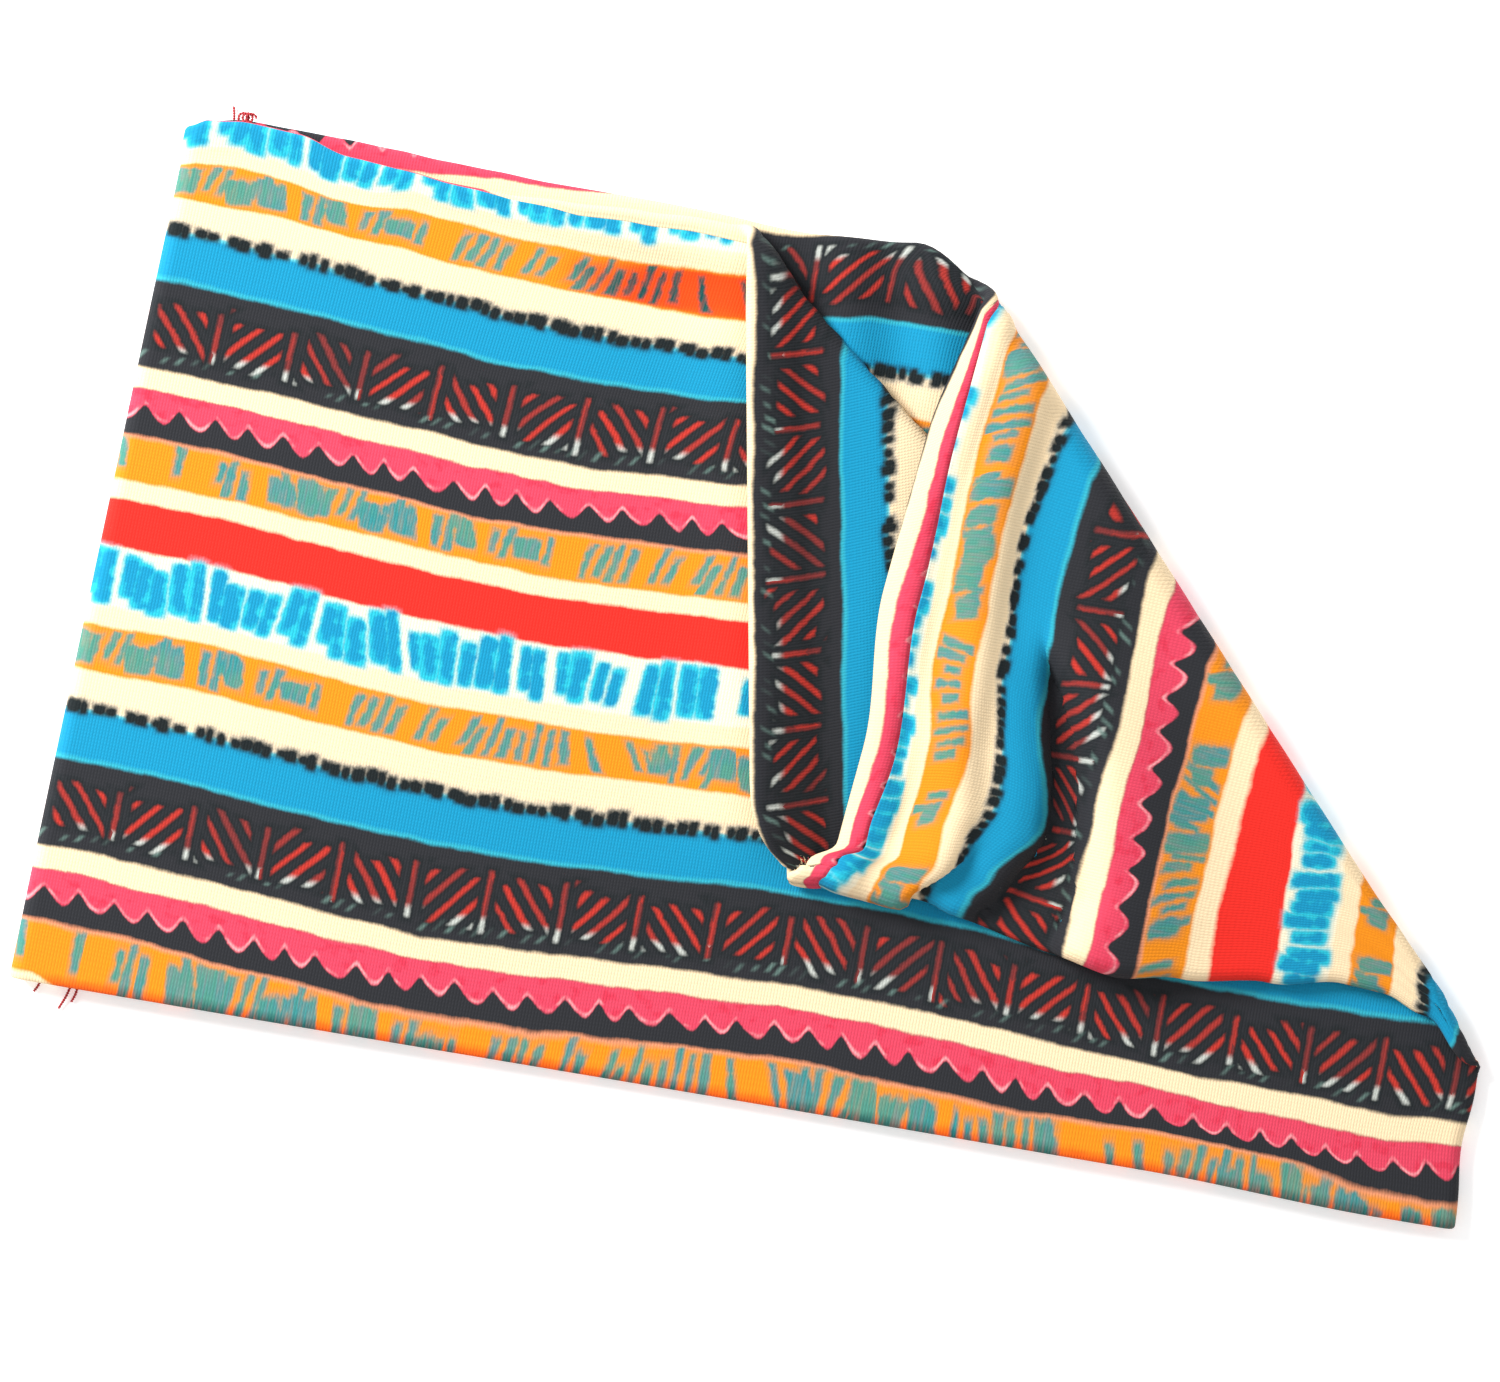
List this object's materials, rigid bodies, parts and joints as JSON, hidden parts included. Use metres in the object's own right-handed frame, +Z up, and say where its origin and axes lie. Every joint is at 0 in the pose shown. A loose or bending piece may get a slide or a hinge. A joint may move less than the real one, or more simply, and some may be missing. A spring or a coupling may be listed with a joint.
{
  "type": "neck gaiter",
  "caption": "Double-layer tube of striped printed jersey for the neck, lying flat with one upper corner folded down over the front.",
  "frame": {"origin": "centre of the gaiter's box, on the surface it lies on", "axes": "+X along the lower edge, +Y from the lower edge to the sewn rim, +Z up from the surface it lies on"},
  "size_m": [0.3, 0.1896, 0.0179],
  "materials": {
    "shell_jersey": "fine printed jersey, matt, soft",
    "lining_jersey": "the same printed jersey, printed side out",
    "seam_thread": "spun polyester sewing thread, matt"
  },
  "bodies": {
    "root": {"closing_seam": "seam_thread", "hem_back": "shell_jersey", "hem_front": "shell_jersey", "lining_back": "lining_jersey", "lining_back_fold": "lining_jersey", "lining_flap": "lining_jersey", "lining_flap_side": "lining_jersey", "lining_front": "lining_jersey", "lining_front_fold": "lining_jersey", "lining_left_side": "lining_jersey", "lining_right_side": "lining_jersey", "lining_turned_front": "lining_jersey", "rim_back": "shell_jersey", "rim_flap": "shell_jersey", "rim_front": "shell_jersey", "rim_seam_back": "seam_thread", "rim_seam_flap": "seam_thread", "rim_seam_front": "seam_thread", "rim_seam_turned_front": "seam_thread", "rim_turned_front": "shell_jersey", "shell_back": "shell_jersey", "shell_back_fold": "shell_jersey", "shell_flap": "shell_jersey", "shell_flap_side": "shell_jersey", "shell_front": "shell_jersey", "shell_front_fold": "shell_jersey", "shell_left_side": "shell_jersey", "shell_right_side": "shell_jersey", "shell_turned_front": "shell_jersey", "thread_hem_corner": "seam_thread", "thread_hem_long": "seam_thread", "thread_hem_short": "seam_thread", "thread_rim_curl": "seam_thread", "thread_rim_long": "seam_thread"}
  },
  "joints": []
}
